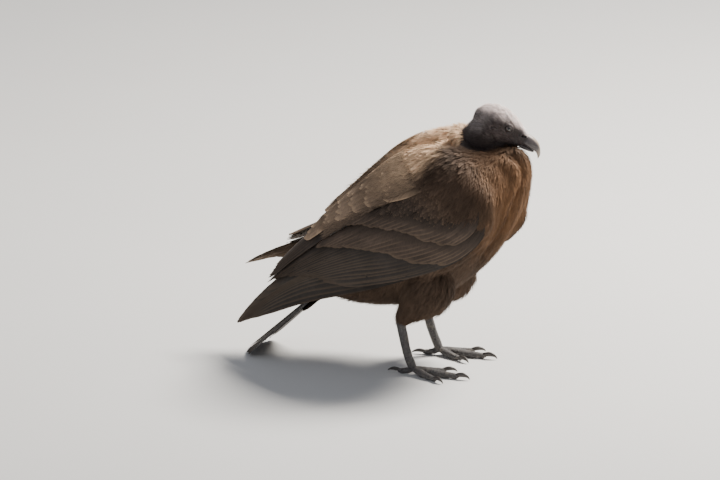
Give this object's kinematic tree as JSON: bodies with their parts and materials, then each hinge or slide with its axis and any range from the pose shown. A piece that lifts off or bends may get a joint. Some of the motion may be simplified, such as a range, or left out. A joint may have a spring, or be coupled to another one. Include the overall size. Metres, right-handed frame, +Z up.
{
  "type": "andean condor",
  "caption": "Life-size young Andean condor standing with wings folded, neck drawn in and hooked bill turned to its left.",
  "frame": {"origin": "centre of the model's footprint box, on the standing plane", "axes": "+X the way the body faces, +Y the bird's left, +Z up"},
  "size_m": [0.6712, 0.3132, 0.595],
  "materials": {
    "body_plumage": "matte brown contour feathers",
    "wing_feathers": "satin dark grey-brown flight feathers with paler edges",
    "tail_feathers": "satin dark grey-brown tail feathers",
    "head_skin": "wrinkled dark skin under short down",
    "bill_horn": "satin horn, dark at its base and pale at the hook",
    "eye": "wet dark brown",
    "leg_scales": "matte grey scales",
    "claw_horn": "satin blackish horn"
  },
  "bodies": {
    "root": {"torso": "body_plumage", "neck": "head_skin", "ruff": "body_plumage", "head": "head_skin", "bill_upper": "bill_horn", "bill_lower": "bill_horn", "eye_left": "eye", "wing_left": "wing_feathers", "thigh_left": "body_plumage", "leg_left": "leg_scales", "claw_inner_left": "claw_horn", "claw_middle_left": "claw_horn", "claw_outer_left": "claw_horn", "claw_hind_left": "claw_horn", "eye_right": "eye", "wing_right": "wing_feathers", "thigh_right": "body_plumage", "leg_right": "leg_scales", "claw_inner_right": "claw_horn", "claw_middle_right": "claw_horn", "claw_outer_right": "claw_horn", "claw_hind_right": "claw_horn", "tail": "tail_feathers"}
  },
  "joints": []
}
